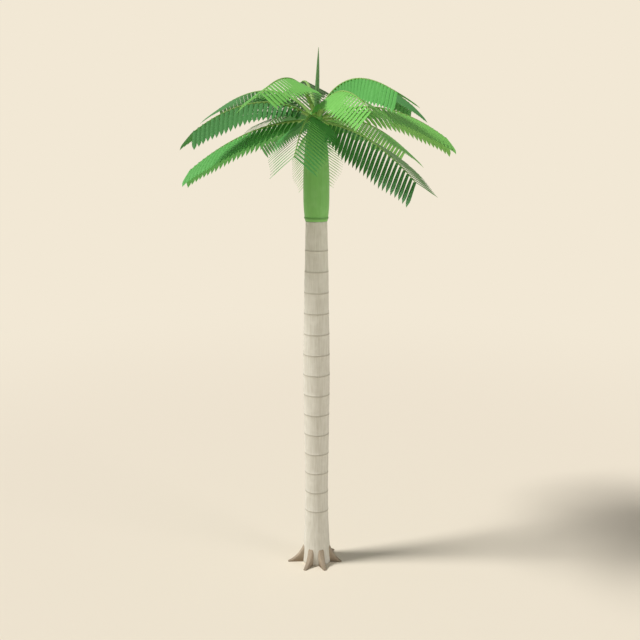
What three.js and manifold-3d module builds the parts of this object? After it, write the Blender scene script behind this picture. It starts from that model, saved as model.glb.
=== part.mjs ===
// A royal palm on level ground: a pale ringed trunk, six root flares, a green crownshaft,
// fifteen feathered fronds and the folded spear leaf that stands above them.
// Millimetres, +Z up. The origin is the middle of the flat cut under the trunk.
// Azimuths are in degrees, anticlockwise from +X as seen from above.

import * as THREE from 'three';
import { mergeVertices } from 'three/addons/utils/BufferGeometryUtils.js';
import Module from 'manifold-3d';

// Clear space where two pieces meet and between the leaflets of different fronds, and the
// distance within which two corners of one skin count as the same
const SEAM = 0.3;
const LEAFLET_CLEARANCE = 8;
const WELD = 0.001;

// Trunk: a wide foot, a waist, a swelling halfway up and a slim top
const TRUNK_SIDES = 24;
const FOOT_RADIUS = 351;
const WAIST_RADIUS = 270;
const WAIST_HEIGHT = 1730;
const SWELL_RADIUS = 304;
const SWELL_HEIGHT = 4780;
const TRUNK_TOP_RADIUS = 242;
const TRUNK_HEIGHT = 8230;
const FLARE_POWER = 2;
const NARROWING_POWER = 1.25;
const FOOT_STATIONS = [0, 220, 440, 860];

// Ring scars that fallen fronds leave round the trunk
const RING_COUNT = 14;
const RING_SPACING = 480;
const LOWEST_RING = 1345;
const RING_PROUD = 7;
const RING_HALF_BAND = 25;

// Crownshaft: leaf sheaths rolled into a column above the trunk, with a collar at its foot
const SHAFT_FOOT_RADIUS = 246;
const SHAFT_BULGE_RADIUS = 286;
const SHAFT_BULGE_HEIGHT = 8930;
const SHAFT_TOP_RADIUS = 112;
const SHAFT_TOP_HEIGHT = 10590;
const SHAFT_CLOSING_POWER = 2.35;
const SHAFT_SWELLING_POWER = 3;
const COLLAR_HEIGHT = 8300;
const COLLAR_PROUD = 12;
const COLLAR_HALF_BAND = 34;
const SHAFT_STATIONS = [8410, 8550, 8730, 8930, 9180, 9430, 9680, 9930, 10130, 10330, 10470];

// Spear leaf: the youngest frond, still folded, leaning a little to +X
const SPEAR_TOP = 11930;
const SPEAR_RADIUS = 54;
const SPEAR_TIP_RADIUS = 3;
const SPEAR_LEAN = 49;
const SPEAR_SIDES = 8;
const SPEAR_STEPS = 8;
const SPEAR_TAPER_POWER = 2.2;

// Root flares: buttresses that run from the trunk's foot down to the ground
const ROOTS = [
  { azimuth: 348, reach: 610 },
  { azimuth: 50, reach: 640 },
  { azimuth: 115, reach: 640 },
  { azimuth: 189, reach: 700 },
  { azimuth: 243, reach: 630 },
  { azimuth: 290, reach: 600 },
];
const ROOT_RISE = 580;
const ROOT_INNER_RADIUS = 250;
const ROOT_BEND_RADIUS = 385;
const ROOT_BEND_HEIGHT = 130;
const ROOT_TIP_HEIGHT = 14;
const ROOT_WIDTH = 180;
const ROOT_TIP_WIDTH = 70;
const ROOT_RIDGE_SHARE = 0.55;
const ROOT_STEPS = 8;

// Fronds, the youngest first: where each points, how steeply its rib leaves the crownshaft,
// how steeply its arch comes down at the end, its length along the arch, and how far the whole
// frond is rolled over. Each stands about a golden angle further round than the one before.
const FRONDS = [
  { azimuth: 319, rise: 59, fall: 35, length: 2800, roll: 8 },
  { azimuth: 104, rise: 58, fall: 42, length: 3360, roll: -3 },
  { azimuth: 248, rise: 49, fall: 33, length: 3430, roll: 4 },
  { azimuth: 26, rise: 56, fall: 40, length: 3190, roll: 5 },
  { azimuth: 149, rise: 45, fall: 34, length: 3270, roll: 1 },
  { azimuth: 293, rise: 40, fall: 37, length: 3280, roll: 1 },
  { azimuth: 74, rise: 40, fall: 44, length: 3400, roll: 0 },
  { azimuth: 208, rise: 30, fall: 41, length: 3430, roll: 1 },
  { azimuth: 356, rise: 26, fall: 42, length: 3430, roll: -6 },
  { azimuth: 124, rise: 23, fall: 42, length: 3220, roll: 11 },
  { azimuth: 262, rise: 12, fall: 41, length: 3500, roll: 3 },
  { azimuth: 42, rise: 11, fall: 37, length: 3520, roll: 6 },
  { azimuth: 185, rise: 2, fall: 44, length: 3430, roll: 6 },
  { azimuth: 318, rise: -4, fall: 46, length: 3450, roll: 14 },
  { azimuth: 91, rise: -5, fall: 46, length: 3450, roll: -9 },
];

// Seats of the fronds inside the crownshaft's top, the youngest highest
const SEAT_RADIUS = 80;
const SEAT_LOW = 10370;
const SEAT_HIGH = 10550;
const ARCH_KNEE = 0.43;

// Rib of a frond: its end is a share of the arch, which the end leaflets run past
const RIB_SIDES = 4;
const RIB_STEPS = 14;
const RIB_END = 0.85;
const RIB_BASE_WIDTH = 110;
const RIB_BASE_DEPTH = 62;
const RIB_TIP_SIZE = 18;
const RIB_TAPER_POWER = 2;

// Leaflets: pairs from a first to a last share of the arch, hanging to both sides of the rib with
// their width level. Towards the tip they get shorter, sweep further forward and hang less.
const LEAFLET_PAIRS = 22;
const FIRST_LEAFLET = 0.1;
const LAST_LEAFLET = 0.84;
const LEAFLET_LENGTH = 830;
const LEAFLET_WIDTH = 97;
const LEAFLET_THICKNESS = 12;
const LEAFLET_BELLY = 0.7;
const BASE_LENGTH_SHARE = 0.65;
const FULL_LENGTH_FROM = 0.28;
const FULL_LENGTH_TO = 0.63;
const TIP_LENGTH_SHARE = 0.75;
const BASE_SWEEP = 22;
const TIP_SWEEP = 37;
const BASE_HANG = 36;
const TIP_HANG = 25;

const wasm = await Module();
wasm.setup();

const { cos, sin, PI, pow } = Math;
const { lerp, smoothstep, degToRad } = THREE.MathUtils;
const UP = new THREE.Vector3(0, 0, 1);

const barkGrey = new THREE.MeshStandardMaterial({ color: '#cdc6b2', roughness: 0.85, metalness: 0 });
const rootBrown = new THREE.MeshStandardMaterial({ color: '#a3937f', roughness: 0.9, metalness: 0 });
const shaftGreen = new THREE.MeshStandardMaterial({ color: '#6aa14e', roughness: 0.45, metalness: 0 });
const spearGreen = new THREE.MeshStandardMaterial({ color: '#4b7a3f', roughness: 0.55, metalness: 0 });
const leafGreen = new THREE.MeshStandardMaterial({ color: '#5ea94c', roughness: 0.5, metalness: 0 });

// A closed geometry as a solid that can be joined and cut
function solidOf(geometry) {
  const bare = new THREE.BufferGeometry();
  bare.setAttribute('position', geometry.getAttribute('position'));
  bare.setIndex(geometry.getIndex());
  const merged = mergeVertices(bare, WELD);
  const corners = merged.getIndex().array;
  const triangles = [];
  for (let i = 0; i < corners.length; i += 3) {
    const [a, b, c] = corners.slice(i, i + 3);
    if (a !== b && b !== c && c !== a) triangles.push(a, b, c);
  }
  return new wasm.Manifold(new wasm.Mesh({
    numProp: 3,
    vertProperties: new Float32Array(merged.getAttribute('position').array),
    triVerts: new Uint32Array(triangles),
  }));
}

// A solid as a geometry that a mesh can show
function geometryOf(solid) {
  const { vertProperties, triVerts } = solid.getMesh();
  const geometry = new THREE.BufferGeometry();
  geometry.setAttribute('position', new THREE.BufferAttribute(vertProperties, 3));
  geometry.setIndex(new THREE.BufferAttribute(triVerts, 1));
  geometry.computeVertexNormals();
  return geometry;
}

// A closed skin over a row of rings of points, with a flat cap on each end
function loft(rings) {
  const count = rings[0].length;
  const points = rings.flat();
  const index = [];
  for (let first = 0; first < points.length - count; first += count) {
    for (let i = 0; i < count; i += 1) {
      const a = first + i;
      const b = first + ((i + 1) % count);
      index.push(a, b, a + count, b, b + count, a + count);
    }
  }
  const last = points.length - count;
  for (let i = 1; i < count - 1; i += 1) {
    index.push(0, i + 1, i, last, last + i, last + i + 1);
  }
  const geometry = new THREE.BufferGeometry().setFromPoints(points);
  geometry.setIndex(index);
  geometry.computeVertexNormals();
  return geometry;
}

// A body of revolution about the vertical axis, from its outline of [radius, height] pairs
function turned(outline) {
  const base = outline[0][1];
  const top = outline.at(-1)[1];
  const profile = [[0, base], ...outline, [0, top]].map(([r, z]) => new THREE.Vector2(r, z));
  return new THREE.LatheGeometry(profile, TRUNK_SIDES).rotateX(PI / 2);
}

function trunkRadius(height) {
  if (height < WAIST_HEIGHT) {
    const belowWaist = 1 - height / WAIST_HEIGHT;
    return lerp(WAIST_RADIUS, FOOT_RADIUS, pow(belowWaist, FLARE_POWER));
  }
  if (height < SWELL_HEIGHT) {
    return lerp(WAIST_RADIUS, SWELL_RADIUS, smoothstep(height, WAIST_HEIGHT, SWELL_HEIGHT));
  }
  const share = (height - SWELL_HEIGHT) / (TRUNK_HEIGHT - SWELL_HEIGHT);
  return lerp(SWELL_RADIUS, TRUNK_TOP_RADIUS, pow(share, NARROWING_POWER));
}

function trunkOutline(grow) {
  const outline = FOOT_STATIONS.map((z) => [trunkRadius(z) + grow, z]);
  for (let ring = 0; ring < RING_COUNT; ring += 1) {
    const middle = LOWEST_RING + ring * RING_SPACING;
    const below = middle - RING_HALF_BAND;
    const above = middle + RING_HALF_BAND;
    outline.push([trunkRadius(below) + grow, below]);
    outline.push([trunkRadius(middle) + RING_PROUD + grow, middle]);
    outline.push([trunkRadius(above) + grow, above]);
  }
  outline.push([TRUNK_TOP_RADIUS + grow, TRUNK_HEIGHT]);
  return outline;
}

function shaftRadius(height) {
  if (height < SHAFT_BULGE_HEIGHT) {
    const below = (SHAFT_BULGE_HEIGHT - height) / (SHAFT_BULGE_HEIGHT - TRUNK_HEIGHT);
    return lerp(SHAFT_BULGE_RADIUS, SHAFT_FOOT_RADIUS, pow(below, SHAFT_SWELLING_POWER));
  }
  const share = (height - SHAFT_BULGE_HEIGHT) / (SHAFT_TOP_HEIGHT - SHAFT_BULGE_HEIGHT);
  return lerp(SHAFT_BULGE_RADIUS, SHAFT_TOP_RADIUS, pow(share, SHAFT_CLOSING_POWER));
}

function shaftOutline(grow) {
  const lowerEdge = COLLAR_HEIGHT - COLLAR_HALF_BAND;
  const upperEdge = COLLAR_HEIGHT + COLLAR_HALF_BAND;
  return [
    [SHAFT_FOOT_RADIUS + grow, TRUNK_HEIGHT + SEAM - grow],
    [shaftRadius(lowerEdge) + grow, lowerEdge],
    [shaftRadius(COLLAR_HEIGHT) + COLLAR_PROUD + grow, COLLAR_HEIGHT],
    [shaftRadius(upperEdge) + grow, upperEdge],
    ...SHAFT_STATIONS.map((z) => [shaftRadius(z) + grow, z]),
    [SHAFT_TOP_RADIUS + grow, SHAFT_TOP_HEIGHT + grow],
  ];
}

function spearGeometry() {
  const foot = SHAFT_TOP_HEIGHT + SEAM;
  const rings = [];
  for (let step = 0; step <= SPEAR_STEPS; step += 1) {
    const share = step / SPEAR_STEPS;
    const radius = lerp(SPEAR_RADIUS, SPEAR_TIP_RADIUS, pow(share, SPEAR_TAPER_POWER));
    const ring = [];
    for (let side = 0; side < SPEAR_SIDES; side += 1) {
      const turn = (2 * PI * side) / SPEAR_SIDES;
      const x = SPEAR_LEAN * share + radius * cos(turn);
      ring.push(new THREE.Vector3(x, radius * sin(turn), lerp(foot, SPEAR_TOP, share)));
    }
    rings.push(ring);
  }
  return loft(rings);
}

// One root flare: a ridge that sweeps down from the trunk, with its flat underside on the ground
function rootGeometry({ azimuth, reach }) {
  const out = new THREE.Vector3(1, 0, 0).applyAxisAngle(UP, degToRad(azimuth));
  const left = new THREE.Vector3().crossVectors(UP, out);
  const ridge = new THREE.QuadraticBezierCurve(
    new THREE.Vector2(ROOT_INNER_RADIUS, ROOT_RISE),
    new THREE.Vector2(ROOT_BEND_RADIUS, ROOT_BEND_HEIGHT),
    new THREE.Vector2(reach, ROOT_TIP_HEIGHT),
  );
  const rings = [];
  for (let step = 0; step <= ROOT_STEPS; step += 1) {
    const share = step / ROOT_STEPS;
    const crest = ridge.getPoint(share);
    const foot = lerp(ROOT_WIDTH, ROOT_TIP_WIDTH, share) / 2;
    const shoulder = foot * ROOT_RIDGE_SHARE;
    const at = (aside, height) => out.clone().multiplyScalar(crest.x)
      .addScaledVector(left, aside).addScaledVector(UP, height);
    rings.push([at(foot, 0), at(shoulder, crest.y), at(-shoulder, crest.y), at(-foot, 0)]);
  }
  return loft(rings);
}

// The arch of a frond's rib: a quadratic curve in the upright plane of its azimuth
function ribArch({ azimuth, rise, fall, length }, seatHeight) {
  const out = new THREE.Vector3(1, 0, 0).applyAxisAngle(UP, degToRad(azimuth));
  const leg = (angle, share) => out.clone().multiplyScalar(cos(degToRad(angle)) * share)
    .addScaledVector(UP, sin(degToRad(angle)) * share);
  const knee = leg(rise, ARCH_KNEE);
  const tip = knee.clone().add(leg(-fall, 1 - ARCH_KNEE));
  const scale = length / new THREE.QuadraticBezierCurve3(new THREE.Vector3(), knee, tip).getLength();
  const seat = out.clone().multiplyScalar(SEAT_RADIUS).setZ(seatHeight);
  const placed = (point) => point.multiplyScalar(scale).add(seat);
  return new THREE.QuadraticBezierCurve3(seat, placed(knee), placed(tip));
}

// Point on the arch with its direction, its left side and its upper side, rolled with the frond
function ribFrame(frond, arch, share) {
  const along = arch.getTangentAt(share);
  const side = new THREE.Vector3(0, 1, 0).applyAxisAngle(UP, degToRad(frond.azimuth));
  const left = side.applyAxisAngle(along, degToRad(frond.roll));
  const upper = new THREE.Vector3().crossVectors(along, left);
  return { point: arch.getPointAt(share), along, left, upper };
}

function ribGeometry(frond, arch) {
  const rings = [];
  for (let step = 0; step <= RIB_STEPS; step += 1) {
    const share = step / RIB_STEPS;
    const { point, left, upper } = ribFrame(frond, arch, share * RIB_END);
    const thinning = pow(1 - share, RIB_TAPER_POWER);
    const halfWidth = lerp(RIB_TIP_SIZE, RIB_BASE_WIDTH, thinning) / 2;
    const halfDepth = lerp(RIB_TIP_SIZE, RIB_BASE_DEPTH, thinning) / 2;
    const ring = [];
    for (let side = 0; side < RIB_SIDES; side += 1) {
      const turn = (2 * PI * side) / RIB_SIDES;
      ring.push(point.clone().addScaledVector(left, cos(turn) * halfWidth)
        .addScaledVector(upper, sin(turn) * halfDepth));
    }
    rings.push(ring);
  }
  return loft(rings);
}

// A leaflet's length at a share of the way from the first pair to the last
function leafletLength(way) {
  const opening = lerp(BASE_LENGTH_SHARE, 1, smoothstep(way, 0, FULL_LENGTH_FROM));
  const closing = lerp(1, TIP_LENGTH_SHARE, smoothstep(way, FULL_LENGTH_TO, 1));
  return LEAFLET_LENGTH * opening * closing;
}

// One leaflet: a slim kite from its root in the rib to its tip, widest at its belly
function leafletGeometry({ point: root, along, left, upper }, hand, way) {
  const sweep = degToRad(lerp(BASE_SWEEP, TIP_SWEEP, way));
  const hang = degToRad(lerp(BASE_HANG, TIP_HANG, way));
  const blade = along.clone().multiplyScalar(sin(sweep))
    .addScaledVector(left, hand * cos(hang) * cos(sweep))
    .addScaledVector(upper, -sin(hang) * cos(sweep));
  const across = new THREE.Vector3().crossVectors(blade, UP).normalize();
  const face = new THREE.Vector3().crossVectors(across, blade);
  const kite = new THREE.OctahedronGeometry(1);
  const corners = kite.getAttribute('position');
  for (let i = 0; i < corners.count; i += 1) {
    const y = corners.getY(i);
    const reach = Math.abs(y) < 0.5 ? LEAFLET_BELLY : (y + 1) / 2;
    const corner = root.clone().addScaledVector(blade, leafletLength(way) * reach)
      .addScaledVector(across, (corners.getX(i) * LEAFLET_WIDTH) / 2)
      .addScaledVector(face, (corners.getZ(i) * LEAFLET_THICKNESS) / 2);
    corners.setXYZ(i, corner.x, corner.y, corner.z);
  }
  return kite;
}

// All the leaflets of one frond
function leafletGeometries(frond, arch) {
  const leaflets = [];
  for (const hand of [1, -1]) {
    for (let pair = 0; pair < LEAFLET_PAIRS; pair += 1) {
      const way = pair / (LEAFLET_PAIRS - 1);
      const frame = ribFrame(frond, arch, lerp(FIRST_LEAFLET, LAST_LEAFLET, way));
      leaflets.push(leafletGeometry(frame, hand, way));
    }
  }
  return leaflets;
}

// A solid with its box, so that far pieces needn't be measured
function placed(geometry) {
  geometry.computeBoundingBox();
  return { solid: solidOf(geometry), box: geometry.boundingBox };
}

function isClear(piece, others) {
  const reach = piece.box.clone().expandByScalar(LEAFLET_CLEARANCE);
  return others.every((other) => !reach.intersectsBox(other.box)
    || piece.solid.minGap(other.solid, LEAFLET_CLEARANCE) >= LEAFLET_CLEARANCE);
}

function named(name, geometry, material) {
  const mesh = new THREE.Mesh(geometry, material);
  mesh.name = name;
  return mesh;
}

const palm = new THREE.Group();

const trunk = new THREE.Group();
trunk.add(named('trunk', turned(trunkOutline(0)), barkGrey));
// The space that the roots keep clear of runs on below the ground, so that their cut goes right through
const trunkSpace = solidOf(turned([[FOOT_RADIUS + SEAM, -ROOT_RISE], ...trunkOutline(SEAM)]));
ROOTS.forEach((root, i) => {
  const flare = solidOf(rootGeometry(root)).subtract(trunkSpace);
  trunk.add(named(`root_flare_${i + 1}`, geometryOf(flare), rootBrown));
});
palm.add(trunk);

const crown = new THREE.Group();
const shaftGeometry = turned(shaftOutline(0));
const spear = spearGeometry();
crown.add(named('crownshaft', shaftGeometry, shaftGreen));
crown.add(named('spear_leaf', spear, spearGreen));

const shaftSpace = solidOf(turned(shaftOutline(SEAM)));
const ribs = FRONDS.map((frond, age) => {
  const arch = ribArch(frond, lerp(SEAT_HIGH, SEAT_LOW, age / (FRONDS.length - 1)));
  const rib = placed(ribGeometry(frond, arch));
  return { frond, arch, solid: rib.solid.subtract(shaftSpace), box: rib.box };
});
const taken = [placed(shaftGeometry), placed(spear)];
ribs.forEach((rib, i) => {
  const blocked = [...taken, ...ribs.filter((other) => other !== rib)];
  const own = leafletGeometries(rib.frond, rib.arch).map(placed)
    .filter((leaflet) => isClear(leaflet, blocked));
  taken.push(...own);
  const blade = own.reduce((joined, leaflet) => joined.add(leaflet.solid), rib.solid);
  crown.add(named(`frond_${String(i + 1).padStart(2, '0')}`, geometryOf(blade), leafGreen));
});
palm.add(crown);

export default palm;
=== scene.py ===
# %% [markdown]
# # A royal palm
# A royal palm is a pale ringed trunk, a smooth green crownshaft of rolled leaf sheaths and a crown of
# feathered fronds. Its solids are already at their real size and place, so this lesson only gives each
# one its finished surface. All sizes are in metres, +Z is up, and the ground is at zero height.

# %% Load the solids
import math

import bpy
import numpy as np
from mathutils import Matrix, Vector, noise


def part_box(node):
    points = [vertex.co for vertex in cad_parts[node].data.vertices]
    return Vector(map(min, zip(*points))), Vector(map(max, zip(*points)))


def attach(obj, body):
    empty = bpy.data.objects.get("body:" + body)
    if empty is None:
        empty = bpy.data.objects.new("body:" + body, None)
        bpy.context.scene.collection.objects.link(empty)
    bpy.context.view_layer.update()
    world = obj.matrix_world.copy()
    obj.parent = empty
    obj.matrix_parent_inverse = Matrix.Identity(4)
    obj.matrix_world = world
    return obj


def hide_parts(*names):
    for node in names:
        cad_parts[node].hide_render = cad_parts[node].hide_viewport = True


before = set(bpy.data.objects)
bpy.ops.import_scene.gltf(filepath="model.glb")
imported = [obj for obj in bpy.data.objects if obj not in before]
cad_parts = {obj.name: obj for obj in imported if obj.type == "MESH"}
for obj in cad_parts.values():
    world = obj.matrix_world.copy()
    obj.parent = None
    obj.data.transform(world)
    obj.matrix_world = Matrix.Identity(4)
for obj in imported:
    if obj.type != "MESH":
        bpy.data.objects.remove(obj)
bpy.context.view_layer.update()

# %% [markdown]
# ## Helpers for materials
# A material is a small tree of nodes. One function adds a node, sets its options and links its inputs,
# which keeps each finish readable. An input is told by its name, or by its number where a node has
# several of the same name: a mix node's colours are its inputs 6 and 7 and its output 2. Colours are
# picked as sRGB hex values, as in any paint program, but the shader works in linear light, so a second
# function turns them round. A third starts a finish and hands out its Object coordinates, in which a
# pattern keeps its real size.

# %% Helpers for materials
def add_node(tree, kind, inputs=None, **settings):
    node = tree.nodes.new(kind)
    for name, value in settings.items():
        setattr(node, name, value)
    for key, value in (inputs or {}).items():
        if isinstance(value, bpy.types.NodeSocket):
            tree.links.new(value, node.inputs[key])
        else:
            node.inputs[key].default_value = value
    return node


def linear(hex_colour):
    shares = [int(hex_colour[i:i + 2], 16) / 255 for i in (1, 3, 5)]
    light = [s / 12.92 if s <= 0.04045 else ((s + 0.055) / 1.055) ** 2.4 for s in shares]
    return (*light, 1.0)


def new_finish(name):
    finish = bpy.data.materials.new(name)
    finish.use_nodes = True
    tree = finish.node_tree
    place = add_node(tree, "ShaderNodeTexCoord").outputs["Object"]
    return finish, tree, tree.nodes["Principled BSDF"], place


print("linear mid grey:", round(linear("#808080")[0], 3))

# %% [markdown]
# ## Helpers for shapes
# The trunk, the crownshaft, the spear leaf and the roots are all skins over a stack of rings. A Screw
# modifier could turn the round ones, but a stack of rings also takes relief, because every point can be
# moved before the skin is made. The relief is noise, a fixed function of place, so it is the same on
# every run.

# %% Rings and the skin over them
def round_rings(heights, radii, around):
    turn = np.linspace(0, 2 * math.pi, around, endpoint=False)
    radii = np.broadcast_to(np.asarray(radii), (len(heights), around))
    level = np.broadcast_to(np.asarray(heights)[:, None], radii.shape)
    return np.stack([radii * np.cos(turn), radii * np.sin(turn), level], axis=-1)


def skin(name, rings, finish):
    rows, around, _ = rings.shape
    here = np.arange(rows * around).reshape(rows, around)
    beside = np.roll(here, -1, axis=1)
    walls = np.stack([here[:-1], beside[:-1], beside[1:], here[1:]], axis=-1).reshape(-1, 4).tolist()
    caps = [here[0, ::-1].tolist(), here[-1].tolist()]
    mesh = bpy.data.meshes.new(name)
    mesh.from_pydata(rings.reshape(-1, 3).tolist(), [], walls + caps)
    mesh.polygons.foreach_set("use_smooth", [True] * len(walls) + [False] * len(caps))
    mesh.materials.append(finish)
    piece = bpy.data.objects.new(name, mesh)
    bpy.context.scene.collection.objects.link(piece)
    print(name, "faces:", len(mesh.polygons), "height:", round(float(rings[..., 2].max()), 3))
    return piece


print("one ring of eight points:", round_rings([0.0], [1.0], 8).shape)

# %% Relief and smooth steps
def lumps(points, size):
    spots = (points / np.asarray(size)).reshape(-1, 3)
    return np.array([noise.noise(Vector(spot)) for spot in spots]).reshape(points.shape[:-1])


def smooth_share(value, low, high):
    share = np.clip((value - low) / (high - low), 0, 1)
    return share * share * (3 - 2 * share)


def bend(share, start, middle, end):
    return (1 - share) ** 2 * start + 2 * share * (1 - share) * middle + share**2 * end


print("half way along a smooth step:", float(smooth_share(0.5, 0, 1)), "and a bend:", bend(0.5, 0, 1, 1))

# %% Hand a piece over to the tree
def settle(piece, slot, *nodes):
    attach(piece, "root")
    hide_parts(*nodes)


# %% [markdown]
# ## Bark
# The bark of a royal palm is smooth, hard and bleached by the sun, like old cement. Up close it has
# shallow upright fissures, pale patches of lichen and a dark scar wherever a frond fell. A painted
# picture could show all this, but noise needs no unwrapping: it is stretched upright for the fissures and
# left round for the patches. The scars are an attribute of the mesh, because they follow its rings.

# %% Finish: bark bleached by the sun
# Dead outer bark that the weather has worn smooth gives the eye a chalky, dull grey with faint upright
# streaks. Real fissures and grit are a few millimetres wide, too fine to show from afar, so both are
# drawn coarser.
FISSURE_WIDTH, FISSURE_LENGTH = 0.030, 0.45
PATCH_SIZE = 0.22
GRIT_SIZE = 0.009
BARK_HOLLOW, BARK_RIDGE = "#cdc8b9", "#dad6c9"
LICHEN_COLOUR, SCAR_COLOUR = "#e6e2d6", "#b3ad9d"

bark, tree, shader, place = new_finish("sun_bleached_palm_bark")
upright = add_node(tree, "ShaderNodeMapping", {
    "Vector": place, "Scale": (1, 1, FISSURE_WIDTH / FISSURE_LENGTH)})
fissures = add_node(tree, "ShaderNodeTexNoise", {
    "Vector": upright.outputs["Vector"], "Scale": 1 / FISSURE_WIDTH, "Detail": 3.0, "Roughness": 0.55})
patches = add_node(tree, "ShaderNodeTexNoise", {"Vector": place, "Scale": 1 / PATCH_SIZE, "Detail": 4.0})
grit = add_node(tree, "ShaderNodeTexNoise", {"Vector": place, "Scale": 1 / GRIT_SIZE, "Detail": 2.0})
ridges = add_node(tree, "ShaderNodeMapRange", {
    "Value": fissures.outputs["Fac"], "From Min": 0.32, "From Max": 0.62, "To Min": 0.0, "To Max": 1.0})
print("bark pattern nodes:", len(tree.nodes))

# %% Colour of the bark
weathered = add_node(tree, "ShaderNodeMix", {
    0: ridges.outputs["Result"], 6: linear(BARK_HOLLOW), 7: linear(BARK_RIDGE)}, data_type="RGBA")
lichen_share = add_node(tree, "ShaderNodeMapRange", {
    "Value": patches.outputs["Fac"], "From Min": 0.5, "From Max": 0.72, "To Min": 0.0, "To Max": 0.5})
with_lichen = add_node(tree, "ShaderNodeMix", {
    0: lichen_share.outputs["Result"], 6: weathered.outputs[2], 7: linear(LICHEN_COLOUR)}, data_type="RGBA")
scar = add_node(tree, "ShaderNodeAttribute", attribute_name="ring_scar").outputs["Fac"]
with_scars = add_node(tree, "ShaderNodeMix", {
    0: scar, 6: with_lichen.outputs[2], 7: linear(SCAR_COLOUR)}, data_type="RGBA")
tree.links.new(with_scars.outputs[2], shader.inputs["Base Color"])
print("bark nodes so far:", len(tree.nodes))

# %% Gloss and grain of the bark
dullness = add_node(tree, "ShaderNodeMapRange", {
    "Value": patches.outputs["Fac"], "From Min": 0.3, "From Max": 0.7, "To Min": 0.75, "To Max": 0.95})
tree.links.new(dullness.outputs["Result"], shader.inputs["Roughness"])
cracked = add_node(tree, "ShaderNodeBump", {
    "Height": ridges.outputs["Result"], "Strength": 0.35, "Distance": 0.003})
gritty = add_node(tree, "ShaderNodeBump", {
    "Height": grit.outputs["Fac"], "Normal": cracked.outputs["Normal"], "Strength": 0.3, "Distance": 0.001})
tree.links.new(gritty.outputs["Normal"], shader.inputs["Normal"])
print("bark nodes:", len(tree.nodes))

# %% [markdown]
# ## Trunk
# The trunk flares at the ground, narrows to a waist, swells halfway up and tapers to the crown. A ring
# scar goes round it at even steps: a low lip with a dark groove in it. A turned outline and a bump would
# give the same from afar, but real grooves also catch the light at the trunk's edges. So the radius is a
# short rule of the height, the scars wander a little round the trunk, and the points stand closer
# together near each scar.

# %% Outline of the trunk
FOOT_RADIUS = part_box("trunk")[1].x
TRUNK_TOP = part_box("trunk")[1].z
WAIST_RADIUS, WAIST_HEIGHT = 0.270, 1.730
SWELL_RADIUS, SWELL_HEIGHT = 0.304, 4.780
TOP_RADIUS = 0.242
FLARE_POWER, NARROWING_POWER = 2, 1.25


def trunk_radius(height):
    flare = np.clip(1 - height / WAIST_HEIGHT, 0, 1) ** FLARE_POWER
    foot = WAIST_RADIUS + (FOOT_RADIUS - WAIST_RADIUS) * flare
    swell = WAIST_RADIUS + (SWELL_RADIUS - WAIST_RADIUS) * smooth_share(height, WAIST_HEIGHT, SWELL_HEIGHT)
    share = np.clip((height - SWELL_HEIGHT) / (TRUNK_TOP - SWELL_HEIGHT), 0, 1)
    taper = SWELL_RADIUS + (TOP_RADIUS - SWELL_RADIUS) * share ** NARROWING_POWER
    return np.where(height < WAIST_HEIGHT, foot, np.where(height < SWELL_HEIGHT, swell, taper))


print("radius at the foot and the top:", trunk_radius(np.array([0.0, TRUNK_TOP])).round(3))

# %% Rows of points and the scars among them
RING_COUNT, RING_SPACING, LOWEST_RING = 14, 0.480, 1.345
LIP_HALF_BAND, LIP_PROUD = 0.025, 0.008
ROWS_AT_RING, ROW_SPREAD = 15, 1.5
SCAR_WANDER, SCAR_WANDER_SIZE = 0.008, 0.30
TRUNK_AROUND, TRUNK_STEP = 128, 0.040

ring_heights = LOWEST_RING + RING_SPACING * np.arange(RING_COUNT)
near_rings = ring_heights[:, None] + LIP_HALF_BAND * np.linspace(-ROW_SPREAD, ROW_SPREAD, ROWS_AT_RING)
even_rows = np.arange(0, TRUNK_TOP, TRUNK_STEP)
rows = np.unique(np.concatenate([even_rows, near_rings.ravel(), [TRUNK_TOP]]).round(3))
trunk_rings = round_rings(rows, trunk_radius(rows)[:, None], TRUNK_AROUND)
wander = SCAR_WANDER * lumps(trunk_rings, SCAR_WANDER_SIZE)
nearest = np.clip(np.rint((trunk_rings[..., 2] - LOWEST_RING) / RING_SPACING), 0, RING_COUNT - 1)
from_scar = trunk_rings[..., 2] + wander - (LOWEST_RING + RING_SPACING * nearest)
print("rows of points:", len(rows), "scars:", RING_COUNT)

# %% Trunk with its relief
GROOVE_HALF_BAND, GROOVE_DEPTH = 0.009, 0.008
SCAR_HALF_BAND = 0.015
FISSURE_DEPTH = 0.0016
SWELLING_SIZE, SWELLING_DEPTH = 0.55, 0.004

lip = LIP_PROUD * np.exp(-(from_scar / LIP_HALF_BAND) ** 2)
groove = GROOVE_DEPTH * np.exp(-(from_scar / GROOVE_HALF_BAND) ** 2)
fissure_relief = FISSURE_DEPTH * lumps(trunk_rings, (FISSURE_WIDTH, FISSURE_WIDTH, FISSURE_LENGTH))
swelling_relief = SWELLING_DEPTH * lumps(trunk_rings, SWELLING_SIZE)
trunk_radii = trunk_radius(trunk_rings[..., 2]) + lip - groove + fissure_relief + swelling_relief
trunk = skin("trunk_bark", round_rings(rows, trunk_radii, TRUNK_AROUND), bark)
scars = trunk.data.attributes.new("ring_scar", "FLOAT", "POINT")
scars.data.foreach_set("value", np.exp(-(from_scar / SCAR_HALF_BAND) ** 2).ravel().astype(np.float32))
settle(trunk, "bark", "trunk")

# %% [markdown]
# ## Root flares
# Where the trunk meets the ground, short buttresses run out from it and dive under. They are darker than
# the trunk, damp at the foot and grooved along their length. They could be sculpted by hand, but a rule
# keeps all six alike: each one is a stack of upright arches along a ridge line, which sweeps down from
# the trunk to the ground, and its inner end is sunk in the trunk.

# %% Finish: root bark
# Rough bark that stays damp near the ground gives the eye a dull, fibrous brown that darkens downwards.
ROOT_GRAIN = 0.018
DAMP_HEIGHT = 0.16
ROOT_DARK, ROOT_LIGHT, ROOT_DAMP = "#94846f", "#bfae98", "#84745f"

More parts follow.
